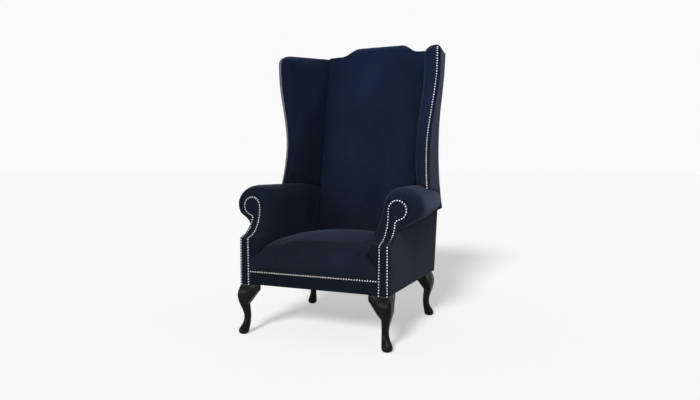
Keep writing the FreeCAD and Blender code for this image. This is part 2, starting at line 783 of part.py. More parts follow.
def facing_normal(z):
    """Outward normal of the swept arm front."""
    slope = face_y(z + 0.5) - face_y(z - 0.5)
    return V(0, -1, slope).normalize()


def make_facing_studs():
    outline = Part.Wire(facing_outline(0.0)[:5])
    flat = outline.discretize(Number=600)
    points = spaced([V(p.x, face_y(p.z), p.z) for p in flat], STUD_PITCH)
    return Part.makeCompound([stud(p + facing_normal(p.z) * 0.1, facing_normal(p.z)) for p in points])


def make_border_studs():
    end = STUD_INNER_X - STUD_PITCH
    points = spaced([V(-end, 0, BORDER_STUD_Z), V(end, 0, BORDER_STUD_Z)], STUD_PITCH)
    return Part.makeCompound([stud(p + V(0, -0.1, 0), V(0, -1, 0)) for p in points])


def on_wing_edge(z, share=0.62):
    """A point on the outer curve of a wing's padded edge."""
    curve = wing_nose(z)[3]
    return curve.valueAt(mix(curve.FirstParameter, curve.LastParameter, share))


def wing_nail(z):
    """Place and direction of a nail on a wing's padded edge."""
    place = on_wing_edge(z)
    along = on_wing_edge(z + 3.0) - on_wing_edge(z - 3.0)
    across = on_wing_edge(z, 0.72) - on_wing_edge(z, 0.52)
    out = along.cross(across).normalize()
    if out.x < 0:
        out = -out
    return place + out * 0.6, out


def make_wing_studs():
    low = ARM_TOP - 13.0
    high = WING_CAP_Z + 0.6 * WING_CAP_RADIUS
    steps = 120
    levels = [mix(low, high, k / steps) for k in range(steps + 1)]
    points = spaced([wing_nail(z)[0] for z in levels], STUD_PITCH)
    return Part.makeCompound([stud(p, wing_nail(p.z)[1]) for p in points])


# Seat frame and springing

def make_side_rail():
    """Side rail of the seat, its rear end cut to the rake of the post."""
    front = PANEL_THICK + STUMP_THICK + 2 * GAP
    depth = POST_DEPTH + PANEL_THICK + 2 * GAP
    outline = [(front, FRAME_BOTTOM), (rear_y(FRAME_BOTTOM) - depth, FRAME_BOTTOM),
               (rear_y(RAIL_TOP) - depth, RAIL_TOP), (front, RAIL_TOP)]
    return side_prism(outline, 306.0, 332.0)


def make_front_rail():
    end = STUD_INNER_X + 2.0 - GAP
    return box((-end, end), (RAIL_THICK - 2.5, 2 * RAIL_THICK - 2.5), (FRAME_BOTTOM, RAIL_TOP))


def make_rear_rail():
    return box((-POST_X, POST_X), (REAR_RAIL_Y, REAR_RAIL_Y + RAIL_THICK), (FRAME_BOTTOM, RAIL_TOP))


def make_corner_blocks():
    """Glued and screwed blocks inside the corners of the seat frame."""
    size = 72.0
    x = 305.5
    front = 2 * RAIL_THICK - 2.0
    rear = REAR_RAIL_Y - GAP
    blocks = []
    for y, way in ((front, 1.0), (rear, -1.0)):
        corners = ((x, y), (x, y + way * size), (x - size, y))
        block = prism(polygon([V(cx, cy, FRAME_BOTTOM) for cx, cy in corners]), V(0, 0, 40.0))
        blocks += [block, mirrored(block)]
    return Part.makeCompound(blocks)


SPRING_X = (-192.0, -96.0, 0.0, 96.0, 192.0)
SPRING_Z = RAIL_TOP + 4.0
SPRING_WIRE = 1.9
SPRING_FRONT_Y = 42.0
SPRING_REAR_Y = REAR_RAIL_Y + 8.0
SPRING_BENDS = 18
SPRING_BEND = (SPRING_REAR_Y - SPRING_FRONT_Y) / (2 * SPRING_BENDS)
SPRING_RUN = 18.0


def make_seat_springs():
    """Zigzag springs from the front rail to the rear rail."""
    springs = []
    for x in SPRING_X:
        edges = []
        for k in range(SPRING_BENDS + 1):
            y = SPRING_FRONT_Y + 2 * SPRING_BEND * k
            side = 1.0 if k % 2 == 0 else -1.0
            a = V(x - side * SPRING_RUN / 2, y, SPRING_Z)
            b = V(x + side * SPRING_RUN / 2, y, SPRING_Z)
            edges.append(line(a, b))
            if k < SPRING_BENDS:
                middle = V(b.x + side * SPRING_BEND, y + SPRING_BEND, SPRING_Z)
                edges.append(arc(b, middle, V(b.x, y + 2 * SPRING_BEND, SPRING_Z)))
        path = Part.Wire(edges)
        first = edges[0].Vertexes[0].Point
        profile = Part.Wire(Part.makeCircle(SPRING_WIRE, first, V(1, 0, 0)))
        springs.append(path.makePipeShell([profile], True, False))
    return Part.makeCompound(springs)


def make_spring_clips():
    """Clips that hold the last run of each spring to the rails."""
    clips = []
    for x in SPRING_X:
        for y in (SPRING_FRONT_Y, SPRING_REAR_Y):
            outer = box((x - 6.0, x + 6.0), (y - 6.0, y + 6.0), (RAIL_TOP, SPRING_Z + SPRING_WIRE + 1.5))
            hole = Part.makeCylinder(SPRING_WIRE + 0.1, 20.0, V(x - 10.0, y, SPRING_Z), V(1, 0, 0))
            clips.append(outer.cut(hole))
    return Part.makeCompound(clips)


def make_seat_canvas():
    return box((-240.0, 240.0), (26.0, 556.0), (SPRING_Z + SPRING_WIRE + 2.0, SEAT_PAD_BOTTOM - GAP))


def make_dust_cover():
    """Black cloth under the seat frame."""
    return box((-336.0, 336.0), (RAIL_THICK - 2.5, 656.0), (BODY_BOTTOM, FRAME_BOTTOM - GAP))


# Legs

# Height, outward shift on the diagonal, half size and corner radius of each section of a cabriole leg.
LEG_SECTIONS = (
    (LEG_TOP, 1.0, 28.0, 5.0),
    (208.0, 8.0, 27.5, 8.0),
    (188.0, 19.0, 26.0, 10.0),
    (166.0, 24.0, 23.8, 11.0),
    (144.0, 23.0, 21.2, 12.0),
    (118.0, 17.0, 18.0, 13.0),
    (92.0, 11.0, 15.4, 13.0),
    (68.0, 10.0, 14.8, 13.0),
    (46.0, 14.5, 17.0, 15.0),
    (29.0, 22.0, 20.6, 18.5),
    (16.0, 26.5, 22.4, 20.5),
    (8.0, 27.0, 21.0, 19.5),
    (GLIDE_HEIGHT - 1.0, 27.0, 17.0, 15.5),
)


EAR_LENGTH = 59.0         # knee brackets, from the middle of the leg's block
EAR_DEPTH = 96.0
EAR_END = 23.0
EAR_FACE = 26.0
EAR_BACK = 3.0


def rounded_square(cx, cy, z, half, radius):
    """A square with round corners, its sides along X and Y."""
    k = radius * (1 - math.sqrt(0.5))
    edges = []
    corners = ((1, 1), (-1, 1), (-1, -1), (1, -1))
    for n, (sx, sy) in enumerate(corners):
        nx, ny = corners[(n + 1) % 4]
        on_x = V(cx + sx * half, cy + sy * (half - radius), z)
        on_y = V(cx + sx * (half - radius), cy + sy * half, z)
        middle = V(cx + sx * (half - k), cy + sy * (half - k), z)
        first, last = (on_x, on_y) if sx == sy else (on_y, on_x)
        edges.append(arc(first, middle, last))
        if nx == sx:
            follow = V(cx + nx * half, cy + ny * (half - radius), z)
        else:
            follow = V(cx + nx * (half - radius), cy + ny * half, z)
        edges.append(line(last, follow))
    return Part.Wire(edges)


def make_leg(bx, by, dx, dy):
    """Cabriole leg under a corner, its knee and foot pointing along (dx, dy)."""
    s = math.sqrt(0.5)
    wires = [rounded_square(bx + dx * s * t, by + dy * s * t, z, h, q) for z, t, h, q in LEG_SECTIONS]
    return loft(wires)


def knee_reach(z):
    """How far the face of a leg stands out from the middle of its block at a height."""
    rows = [(level, shift * math.sqrt(0.5) + half) for level, shift, half, radius in LEG_SECTIONS]
    for (high, a), (low, b) in zip(rows, rows[1:]):
        if z >= low:
            return mix(b, a, (z - low) / (high - low))
    return rows[-1][1]


def ear_section(u, place):
    """Section of a knee bracket at a distance from the leg's middle: it flows from the knee to the rail."""
    share = max(0.0, u / EAR_LENGTH)
    low = LEG_TOP - mix(EAR_DEPTH, EAR_END, share)
    middle = mix(low, LEG_TOP, 0.5)

    def front(z, swell=0.0):
        return place(u, mix(knee_reach(z) - 2.0, EAR_FACE, smooth(share)) + swell, z)

    return Part.Wire([
        line(place(u, EAR_BACK, LEG_TOP), front(LEG_TOP)),
        arc(front(LEG_TOP), front(middle, 0.8), front(low)),
        line(front(low), place(u, EAR_BACK, low)),
        line(place(u, EAR_BACK, low), place(u, EAR_BACK, LEG_TOP)),
    ])


def make_ears(bx, by, dx, dy, leg):
    """The two knee brackets of a leg, fitted against its sides."""
    stations = [mix(-6.0, EAR_LENGTH, k / 6.0) for k in range(7)]
    along_x = loft([ear_section(u, lambda u, v, z: V(bx - dx * u, by + dy * v, z)) for u in stations], True)
    along_y = loft([ear_section(u, lambda u, v, z: V(bx + dx * v, by - dy * u, z)) for u in stations], True)
    pieces = [along_x.cut(leg), along_y.cut(along_x).cut(leg)]
    return [max(piece.Solids, key=lambda s: s.Volume) for piece in pieces]


def make_bolt(bx, by, z0, z1):
    """Hanger bolt that holds a leg to the frame above it."""
    return Part.makeCylinder(BOLT_RADIUS, z1 - z0, V(bx, by, z0), V(0, 0, 1))


def add_legs(parts):
    corners = {
        "front_left": (LEG_BLOCK_X, FRONT_LEG_Y, 1, -1),
        "front_right": (-LEG_BLOCK_X, FRONT_LEG_Y, -1, -1),
        "rear_left": (REAR_LEG_X, REAR_LEG_Y, 1, 1),
        "rear_right": (-REAR_LEG_X, REAR_LEG_Y, -1, 1),
    }
    bolts, glides = [], []
    s = math.sqrt(0.5)
    for name, (bx, by, dx, dy) in corners.items():
        leg = make_leg(bx, by, dx, dy)
        bolt_y = 18.0 if dy < 0 else 642.0
        bolt_x = math.copysign(321.0 if dy < 0 else 312.0, bx)
        bolt = make_bolt(bolt_x, bolt_y, LEG_TOP - 45.0, FRAME_BOTTOM + 38.0)
        shift = LEG_SECTIONS[-1][1] * s
        foot = V(bx + dx * shift, by + dy * shift, 0)
        glide = Part.makeCylinder(GLIDE_RADIUS, GLIDE_HEIGHT, foot, V(0, 0, 1))
        ears = make_ears(bx, by, dx, dy, leg)
        parts[name + "_leg"] = leg.cut(Part.makeCompound([bolt, glide]))
        parts[name + "_knee_brackets"] = Part.makeCompound(ears)
        bolts.append(bolt)
        glides.append(glide)
    parts["leg_bolts"] = Part.makeCompound(bolts)
    parts["foot_glides"] = Part.makeCompound(glides)
    drill = parts["leg_bolts"]
    for name in ("left_arm_stump", "right_arm_stump", "left_back_post", "right_back_post", "dust_cover"):
        parts[name] = parts[name].cut(drill)


# Dowelled joints of the frame

def add_dowels(parts):
    """Beech dowels between the rails and the uprights, each drilled into both."""
    radius = 4.0
    dowels = []

    def dowel(x, y, z, way):
        """One dowel whose middle is at the joint."""
        dowels.append(Part.makeCylinder(radius, 40.0, V(x, y, z) - way * 20.0, way))

    along, across = V(0, 1, 0), V(1, 0, 0)
    for z in (FRAME_BOTTOM + 52.0, FRAME_BOTTOM + 76.0):
        dowel(318.0, PANEL_THICK + STUMP_THICK, z, along)
        dowel(320.0, rear_y(z) - POST_DEPTH - PANEL_THICK, z, along)
        dowel(POST_X, REAR_RAIL_Y + 19.0, z, across)
    for z in (WING_CAP_Z - 37.0, WING_CAP_Z - 15.0):
        dowel(POST_X - 2.0, rear_y(z) - 18.0, z, across)
    for z in (454.0, 476.0):
        dowel(POST_X, rear_y(z) - 24.0, z, across)
    dowel(LOOP_X, SWEEP_DEPTH + PANEL_THICK + STUMP_THICK, LOOP_Z, along)
    dowel(ROLL_REAR["bore_x"], ROLL_REAR["y"], ROLL_REAR["bore_z"], along)
    dowel(319.0, PANEL_THICK + STUMP_THICK, 362.0, along)
    dowel(318.0, rear_y(362.0) - POST_DEPTH - PANEL_THICK, 362.0, along)
    dowels += [mirrored(d) for d in dowels]
    group = Part.makeCompound(dowels)
    drilled = ["rear_seat_rail", "crest_rail", "back_lower_rail"]
    for name in ("arm_stump", "side_rail", "back_post", "arm_board", "arm_tack_rail"):
        drilled += ["left_" + name, "right_" + name]
    for name in drilled:
        parts[name] = parts[name].cut(group)
    parts["frame_dowels"] = group


def make_parts():
    parts = {}
    arm_board = make_arm_board()
    wing_board = make_wing_board(arm_board)
    stump = make_arm_stump()
    rear_rail = make_rear_rail()
    front_rail = make_front_rail()
    arm_pad = make_arm_pad([wing_board, stump, front_rail, rear_rail])
    both_sides("arm_facing", make_arm_facing(), parts)
    both_sides("arm_stump", stump, parts)
    both_sides("arm_pad", arm_pad, parts)
    both_sides("arm_board", arm_board, parts)
    both_sides("arm_tack_rail", make_arm_tack_rail(), parts)
    both_sides("outside_arm", make_outside_arm(), parts)
    both_sides("back_post", make_back_post(), parts)
    both_sides("wing_board", wing_board, parts)
    both_sides("wing_top_rail", make_wing_top_rail(), parts)
    both_sides("wing_pad", make_wing_pad(wing_board), parts)
    both_sides("outside_wing", make_outside_wing(), parts)
    both_sides("side_rail", make_side_rail(), parts)
    both_sides("facing_studs", make_facing_studs(), parts)
    both_sides("wing_studs", make_wing_studs(), parts)
    parts["border_studs"] = make_border_studs()
    parts["front_seat_rail"] = front_rail
    parts["rear_seat_rail"] = rear_rail
    parts["back_lower_rail"] = make_back_rail(440.0, 490.0)
    parts["crest_rail"] = make_crest_rail()
    parts["corner_blocks"] = make_corner_blocks()
    parts["seat_springs"] = make_seat_springs()
    parts["spring_clips"] = make_spring_clips()
    parts["seat_canvas"] = make_seat_canvas()
    parts["back_webbing"] = make_back_webbing()
    parts["seat_pad"] = make_seat_pad(arm_pad)
    parts["front_border"] = make_front_border()
    parts["inside_back"] = make_inside_back()
    parts["outside_back"] = make_outside_back()
    parts["dust_cover"] = make_dust_cover()
    add_legs(parts)
    add_dowels(parts)
    return parts


def main():
    os.makedirs("parts", exist_ok=True)
    for name, shape in make_parts().items():
        placed = shape.copy()
        placed.translate(V(0, -Y_MIDDLE, 0))
        placed.exportStep(os.path.join("parts", name + ".step"))


main()
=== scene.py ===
import json
import math
import random

import bmesh
import bpy
import numpy as np
from mathutils import Matrix, Vector
from mathutils.bvhtree import BVHTree
from mathutils.geometry import delaunay_2d_cdt


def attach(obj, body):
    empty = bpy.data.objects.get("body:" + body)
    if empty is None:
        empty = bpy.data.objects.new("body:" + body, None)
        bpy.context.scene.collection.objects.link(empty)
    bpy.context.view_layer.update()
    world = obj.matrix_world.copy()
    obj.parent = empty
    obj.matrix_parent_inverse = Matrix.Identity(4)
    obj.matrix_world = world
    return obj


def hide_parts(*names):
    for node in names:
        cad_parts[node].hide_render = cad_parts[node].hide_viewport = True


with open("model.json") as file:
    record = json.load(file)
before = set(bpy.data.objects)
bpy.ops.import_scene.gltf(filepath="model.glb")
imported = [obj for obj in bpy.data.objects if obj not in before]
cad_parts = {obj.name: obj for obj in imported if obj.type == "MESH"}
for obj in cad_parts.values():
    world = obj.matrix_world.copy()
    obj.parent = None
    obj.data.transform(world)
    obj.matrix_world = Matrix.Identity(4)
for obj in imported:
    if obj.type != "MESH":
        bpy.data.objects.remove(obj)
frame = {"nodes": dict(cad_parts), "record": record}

# A high-back wing armchair in navy velvet. Metres, in the frame of the CAD part: the chair faces -Y.

scene = bpy.context.scene
nodes = frame["nodes"]
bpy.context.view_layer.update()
SIDES = (("left", 1), ("right", -1))

# The photograph's viewpoint: place, degrees round and above, and the lens for the sensor's width in mm
CAMERA_AT = Vector((1.1294, -2.6248, 0.7391))
CAMERA_TURN = 23.377
CAMERA_RISE = 3.289
CAMERA_LENS = 30.857
CAMERA_SENSOR = 36.0

# The key: a large lamp in front
KEY_WATTS = 19.5
KEY_AT = Vector((0.85, -1.45, 1.60))
KEY_AIM = Vector((0.05, 0.10, 0.85))
KEY_SIZE = 0.9

# Weak suns: strength, direction they come from, spread in degrees and colour
FRONT_SUN = (0.55, Vector((-0.50, -1.0, 0.12)), 25.0, (1.0, 1.0, 1.0))
DEEP_SUN = (1.15, Vector((-0.15, -1.0, 0.15)), 30.0, (0.94, 1.0, 1.10))
SIDE_SUN = (0.65, Vector((1.0, 0.10, 0.15)), 40.0, (1.0, 0.86, 0.70))
TOP_SUN = (1.50, Vector((0.1, 0.40, 1.0)), 30.0, (0.70, 0.86, 1.0))
REAR_SUN = (1.70, Vector((-0.35, 1.0, 0.45)), 30.0, (0.85, 0.94, 1.0))
FLOOR_SUN = (2.6, Vector((0.07, -1.0, 0.60)), 13.0, (1.0, 1.0, 1.0))

# The pieces that the top sun falls on, and those that the sun into the depth of the chair falls on
HIGH_PIECES = ("back_cushion", "left_wing_cushion", "right_wing_cushion", "left_arm_cushion")
DEEP_PIECES = ("seat_cushion", "back_cushion", "left_wing_cushion")

# The sky as light and as the camera sees it, the share of it in reflections, and the floor
SKY_STRENGTH = 0.15
WHITE = 0.955
SHINE = 0.45
FLOOR_ALBEDO = 0.84
FLOOR_GLOW = 0.46
FLOOR_REACH = 60.0

# The swept front of the arms
FRONT_Y = -0.426
KINK_Z = 0.424
SWEEP_RADIUS = 0.120
SWEEP_DEPTH = 0.100
KINK_ANGLE = math.acos(1 - SWEEP_DEPTH / SWEEP_RADIUS)
SWEEP_TOP = KINK_Z + SWEEP_RADIUS * math.sin(KINK_ANGLE)


# Shader helpers

def new_material(name):
    mat = bpy.data.materials.new(name)
    mat.use_nodes = True
    tree = mat.node_tree
    return mat, tree, tree.nodes["Principled BSDF"]


def add(tree, kind, **values):
    """A shader node with its settings."""
    node = tree.nodes.new(kind)
    for key, value in values.items():
        setattr(node, key, value)
    return node


def stretched_noise(tree, scale, detail, roughness):
    """Noise in object space with its own size on each axis, in features per metre."""
    coords = add(tree, "ShaderNodeTexCoord")
    mapping = add(tree, "ShaderNodeMapping")
    mapping.inputs["Scale"].default_value = scale
    noise = add(tree, "ShaderNodeTexNoise")
    noise.inputs["Scale"].default_value = 1.0
    noise.inputs["Detail"].default_value = detail
    noise.inputs["Roughness"].default_value = roughness
    tree.links.new(coords.outputs["Object"], mapping.inputs["Vector"])
    tree.links.new(mapping.outputs["Vector"], noise.inputs["Vector"])
    return noise.outputs["Fac"]


def height_share(tree, low, high):
    """0 at one height above the floor and 1 at another."""
    coords = add(tree, "ShaderNodeTexCoord")
    parts = add(tree, "ShaderNodeSeparateXYZ")
    share = add(tree, "ShaderNodeMapRange")
    share.inputs["From Min"].default_value = low
    share.inputs["From Max"].default_value = high
    tree.links.new(coords.outputs["Object"], parts.inputs["Vector"])
    tree.links.new(parts.outputs["Z"], share.inputs["Value"])
    return share.outputs["Result"]


def ramp(tree, source, low, high, start=0.0, end=1.0):
    """Two colours across a range of a grey input."""
    node = add(tree, "ShaderNodeValToRGB")
    node.color_ramp.elements[0].position = start
    node.color_ramp.elements[0].color = (*low, 1.0)
    node.color_ramp.elements[1].position = end
    node.color_ramp.elements[1].color = (*high, 1.0)
    tree.links.new(source, node.inputs["Fac"])
    return node.outputs["Color"]


def multiplied(tree, a, b, factor=1.0):
    node = add(tree, "ShaderNodeMix", data_type="RGBA", blend_type="MULTIPLY")
    node.inputs["Factor"].default_value = factor
    tree.links.new(a, node.inputs[6])
    tree.links.new(b, node.inputs[7])
    return node.outputs[2]


def bumped(tree, shader, source, strength, distance):
    bump = add(tree, "ShaderNodeBump")
    bump.inputs["Strength"].default_value = strength
    bump.inputs["Distance"].default_value = distance
    tree.links.new(source, bump.inputs["Height"])
    tree.links.new(bump.outputs["Normal"], shader.inputs["Normal"])


def make_velvet():
    """Navy velvet: brushed patches, fine upright streaks, painted light bluer up high and warmer low, a cool
    sheen.
    """
    mat, tree, shader = new_material("velvet")
    patches = stretched_noise(tree, (5.0, 5.0, 2.6), 4.0, 0.55)
    streaks = stretched_noise(tree, (330.0, 330.0, 16.0), 3.0, 0.6)
    ground = ramp(tree, patches, (0.0045, 0.0080, 0.0175), (0.0080, 0.0140, 0.0300), 0.3, 0.72)
    pile = ramp(tree, streaks, (0.62, 0.62, 0.62), (1.35, 1.35, 1.35), 0.25, 0.75)
    # Painted light: a cast by height, warmer low down and bluer and lighter up high, as light from above
    # falls
    painted_light_cast = ramp(tree, height_share(tree, 0.40, 1.40), (1.14, 1.03, 0.87), (0.90, 1.12, 1.52))
    mottle = stretched_noise(tree, (34.0, 34.0, 11.0), 3.0, 0.6)
    marks = ramp(tree, mottle, (1.12, 0.98, 0.90), (0.92, 1.04, 1.06), 0.35, 0.65)
    brushed = multiplied(tree, multiplied(tree, ground, pile, 0.5), marks)
    tree.links.new(multiplied(tree, brushed, painted_light_cast), shader.inputs["Base Color"])
    shader.inputs["Roughness"].default_value = 0.88
    shader.inputs["Specular IOR Level"].default_value = 0.08
    shader.inputs["Sheen Weight"].default_value = 0.15
    shader.inputs["Sheen Roughness"].default_value = 0.4
    shader.inputs["Sheen Tint"].default_value = (0.40, 0.50, 0.72, 1.0)
    fine = stretched_noise(tree, (1500.0, 1500.0, 420.0), 2.0, 0.6)
    bumped(tree, shader, fine, 0.35, 0.0006)
    return mat


def make_dark_wood():
    """Near-black polished hardwood, with brown grain along the leg."""
    mat, tree, shader = new_material("dark_wood")
    grain = stretched_noise(tree, (150.0, 150.0, 9.0), 5.0, 0.62)
    cloud = stretched_noise(tree, (14.0, 14.0, 7.0), 2.0, 0.5)
    tone = ramp(tree, grain, (0.0022, 0.0024, 0.0030), (0.0095, 0.0072, 0.0066), 0.35, 0.75)
    depth = ramp(tree, cloud, (0.55, 0.55, 0.55), (1.2, 1.2, 1.2), 0.3, 0.7)
    tree.links.new(multiplied(tree, tone, depth, 0.7), shader.inputs["Base Color"])
    rough = ramp(tree, grain, (0.26, 0.26, 0.26), (0.40, 0.40, 0.40), 0.3, 0.8)
    tree.links.new(rough, shader.inputs["Roughness"])
    shader.inputs["Specular IOR Level"].default_value = 0.10
    shader.inputs["Specular Tint"].default_value = (0.80, 0.92, 1.0, 1.0)
    shader.inputs["Coat Weight"].default_value = 0.14
    shader.inputs["Coat Roughness"].default_value = 0.22
    bumped(tree, shader, grain, 0.12, 0.0004)
    return mat


def make_nickel():
    """Plated nail heads, a little dulled in places."""
    mat, tree, shader = new_material("nickel")
    wear = stretched_noise(tree, (260.0, 260.0, 260.0), 3.0, 0.6)
    tone = ramp(tree, wear, (0.60, 0.60, 0.64), (0.88, 0.88, 0.92), 0.3, 0.65)
    tree.links.new(tone, shader.inputs["Base Color"])
    rough = ramp(tree, wear, (0.34, 0.34, 0.34), (0.2, 0.2, 0.2), 0.3, 0.7)
    tree.links.new(rough, shader.inputs["Roughness"])
    shader.inputs["Metallic"].default_value = 1.0
    return mat


def make_grained(name, low, high, scale, rough, metallic):
    """A plain ground with grain, for the pieces inside and underneath."""
    mat, tree, shader = new_material(name)
    grain = stretched_noise(tree, scale, 4.0, 0.6)
    tree.links.new(ramp(tree, grain, low, high, 0.3, 0.7), shader.inputs["Base Color"])
    shader.inputs["Roughness"].default_value = rough
    shader.inputs["Metallic"].default_value = metallic
    bumped(tree, shader, grain, 0.2, 0.0005)
    return mat


# Both colours, features per metre on each axis, roughness and metal
GRAINED = {
    "beech": ((0.40, 0.24, 0.12), (0.58, 0.38, 0.21), (120.0, 120.0, 8.0), 0.6, 0.0),
    "steel": ((0.20, 0.20, 0.21), (0.32, 0.32, 0.33), (400.0, 400.0, 400.0), 0.35, 1.0),
    "webbing": ((0.03, 0.024, 0.018), (0.07, 0.055, 0.04), (900.0, 900.0, 300.0), 0.9, 0.0),
    "canvas": ((0.28, 0.19, 0.11), (0.42, 0.30, 0.19), (900.0, 900.0, 900.0), 0.9, 0.0),
    "dust_cloth": ((0.006, 0.006, 0.006), (0.016, 0.016, 0.016), (700.0, 700.0, 90.0), 0.95, 0.0),
    "glide": ((0.008, 0.008, 0.008), (0.02, 0.02, 0.02), (500.0, 500.0, 500.0), 0.6, 0.0),
}
MATERIALS = {"velvet": make_velvet(), "dark_wood": make_dark_wood(), "nickel": make_nickel()}
MATERIALS.update({name: make_grained(name, *values) for name, values in GRAINED.items()})
SOFT_PIECES = []


def dress(obj, slot):
    """A finished piece: its material, smooth shading and the body that carries it."""
    if slot == "velvet":
        SOFT_PIECES.append(obj)
    obj.data.materials.clear()
    obj.data.materials.append(MATERIALS[slot])
    obj.data.shade_smooth()
    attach(obj, "root")
    return obj


def dress_nodes():
    """Every CAD node takes the material of its slot. The soft ones are replaced further on."""
    for part in frame["record"]["subparts"]:
        slots = nodes[part["node"]].data.materials
        slots.clear()
        slots.append(MATERIALS[part["material_slot"]])


# Mesh helpers

WELD = 0.00002


def link(name, mesh):
    obj = bpy.data.objects.new(name, mesh)
    scene.collection.objects.link(obj)
    return obj


def at_vertices(mesh, what):
    """Places or normals of a mesh's vertices, one row each."""
    flat = np.zeros(len(mesh.vertices) * 3, np.float32)
    mesh.vertices.foreach_get(what, flat)
    return flat.reshape(-1, 3).astype(float)


def place_points(mesh, points):
    mesh.vertices.foreach_set("co", points.astype(np.float32).ravel())
    mesh.update()


def edges_of(mesh):
    flat = np.zeros(len(mesh.edges) * 2, np.int32)
    mesh.edges.foreach_get("vertices", flat)
    return flat.reshape(-1, 2)


def averaged(values, edges, rounds):
    """Values at the vertices, spread over their neighbours."""
    count = np.bincount(edges.ravel(), minlength=len(values)).astype(float)
    count[count == 0] = 1.0
    for _ in range(rounds):
        total = np.zeros_like(values)
        np.add.at(total, edges[:, 0], values[edges[:, 1]])
        np.add.at(total, edges[:, 1], values[edges[:, 0]])
        values = 0.5 * values + 0.5 * total / count
    return values


def baked(obj):
    """The piece with its modifiers applied."""
    graph = bpy.context.evaluated_depsgraph_get()
    mesh = bpy.data.meshes.new_from_object(obj.evaluated_get(graph))
    old = obj.data
    obj.modifiers.clear()
    obj.data = mesh
    bpy.data.meshes.remove(old)


def welded(node):
    """A copy of a CAD node's mesh with its seams closed."""
    mesh = bpy.data.meshes.new(node)
    bm = bmesh.new()
    bm.from_mesh(nodes[node].data)
    bmesh.ops.remove_doubles(bm, verts=bm.verts, dist=WELD)
    bmesh.ops.recalc_face_normals(bm, faces=bm.faces)
    bm.to_mesh(mesh)
    bm.free()
    return mesh


def search_tree(pieces):
    """The surfaces of some pieces as one search tree."""
    points, faces = [], []
    for obj in pieces:
        base = len(points)
        points += [v.co.copy() for v in obj.data.vertices]
        faces += [[base + i for i in p.vertices] for p in obj.data.polygons]
    return BVHTree.FromPolygons(points, faces)


def mirrored_copy(obj, name):
    """The other side's piece."""
    mesh = obj.data.copy()
    mesh.transform(Matrix.Scale(-1.0, 4, (1.0, 0.0, 0.0)))
    mesh.flip_normals()
    return link(name, mesh)


# Stuffed pads: each CAD pad is meshed evenly and swells as cloth, by a few mm, where nothing touches it

# How near a neighbour lies, where the search for it starts, and over how many vertices the change is spread
CONTACT = 0.016
CONTACT_START = 0.0004
CONTACT_SPREAD = 8

# The cloth: the open share below which it is held, pressure, stiffness, quality, steps, spread of its result
HELD_BELOW = 0.06
PRESSURE = 4.0
STRETCH_STIFFNESS = 20.0
BEND_STIFFNESS = 2.0
CLOTH_QUALITY = 4
CLOTH_STEPS = 20
SWELL_SPREAD = 3

# How much each round softens the corners, and how firmly a pad is kept on the CAD form near a neighbour
SOFTEN = 0.5
SEAM_HOLD = 2.0

# Node, piece, voxel, smoothing rounds, slack, cap and fill
PADS = (
    ("seat_pad", "seat_cushion", 0.006, 6, 0.003, 0.004, 0.85),
    ("inside_back", "back_cushion", 0.008, 5, 0.003, 0.004, 0.8),
    ("left_arm_pad", "left_arm_cushion", 0.006, 4, 0.003, 0.003, 0.8),
    ("left_wing_pad", "left_wing_cushion", 0.006, 5, 0.003, 0.003, 0.75),
    ("front_border", "front_band", 0.004, 3, 0.001, 0.001, 0.6),
)


def even_copy(node, name, voxel, rounds):
    """A pad with its surface in even squares and its corners softened."""
    obj = link(name, welded(node))
    remesh = obj.modifiers.new("even", "REMESH")
    remesh.mode = "VOXEL"
    remesh.voxel_size = voxel
    soft = obj.modifiers.new("soft", "SMOOTH")
    soft.factor = SOFTEN
    soft.iterations = rounds
    baked(obj)
    return obj


def free_share(obj, node):
    """1 where the pad's surface is open to the air, 0 where it lies on a neighbour."""
    tree = search_tree([other for name, other in nodes.items() if name != node])
    mesh = obj.data
    free = np.ones(len(mesh.vertices))
    for i, v in enumerate(mesh.vertices):
        hit = tree.ray_cast(v.co + v.normal * CONTACT_START, v.normal, CONTACT)
        if hit[0] is not None:
            free[i] = 0.0
    return averaged(free, edges_of(mesh), CONTACT_SPREAD)


def keep_seams(obj, node, free):
    """Puts the surface back on the CAD form where it lies on a neighbour, so that seams stay shut."""
    tree = search_tree([nodes[node]])
    here = at_vertices(obj.data, "co")
    form = np.array([tuple(tree.find_nearest(p)[0]) for p in here])
    share = np.clip(SEAM_HOLD * (1.0 - free), 0.0, 1.0)
    place_points(obj.data, here + (form - here) * share[:, None])


def start_stuffing(obj, free, slack):
    """Draws the open surface in by slack, and adds the cloth that will swell it again."""
    form = at_vertices(obj.data, "co")
    out = at_vertices(obj.data, "normal")
    place_points(obj.data, form - out * (slack * free)[:, None])
    pinned = obj.vertex_groups.new(name="held")
    for i in np.nonzero(free < HELD_BELOW)[0]:
        pinned.add([int(i)], 1.0, "REPLACE")
    cloth = obj.modifiers.new("cloth", "CLOTH")
    cloth.settings.use_pressure = True
    cloth.settings.uniform_pressure_force = PRESSURE
    cloth.settings.effector_weights.gravity = 0.0
    cloth.settings.vertex_group_mass = "held"
    cloth.settings.tension_stiffness = STRETCH_STIFFNESS
    cloth.settings.compression_stiffness = STRETCH_STIFFNESS
    cloth.settings.bending_stiffness = BEND_STIFFNESS
    cloth.settings.quality = CLOTH_QUALITY
    cloth.collision_settings.use_collision = False
    cloth.collision_settings.use_self_collision = False
    cloth.point_cache.frame_start = 1
    cloth.point_cache.frame_end = CLOTH_STEPS
    return form, out


def end_stuffing(obj, form, out, free, cap):
    """Keeps the swelling beyond the pad's own form, up to a limit."""
    graph = bpy.context.evaluated_depsgraph_get()
    moved = at_vertices(obj.evaluated_get(graph).data, "co") - form
    swell = np.clip(np.sum(moved * out, axis=1), 0.0, cap)
    swell = averaged(swell, edges_of(obj.data), SWELL_SPREAD)
    obj.modifiers.clear()
    obj.vertex_groups.clear()
    place_points(obj.data, form + out * (swell * free)[:, None])


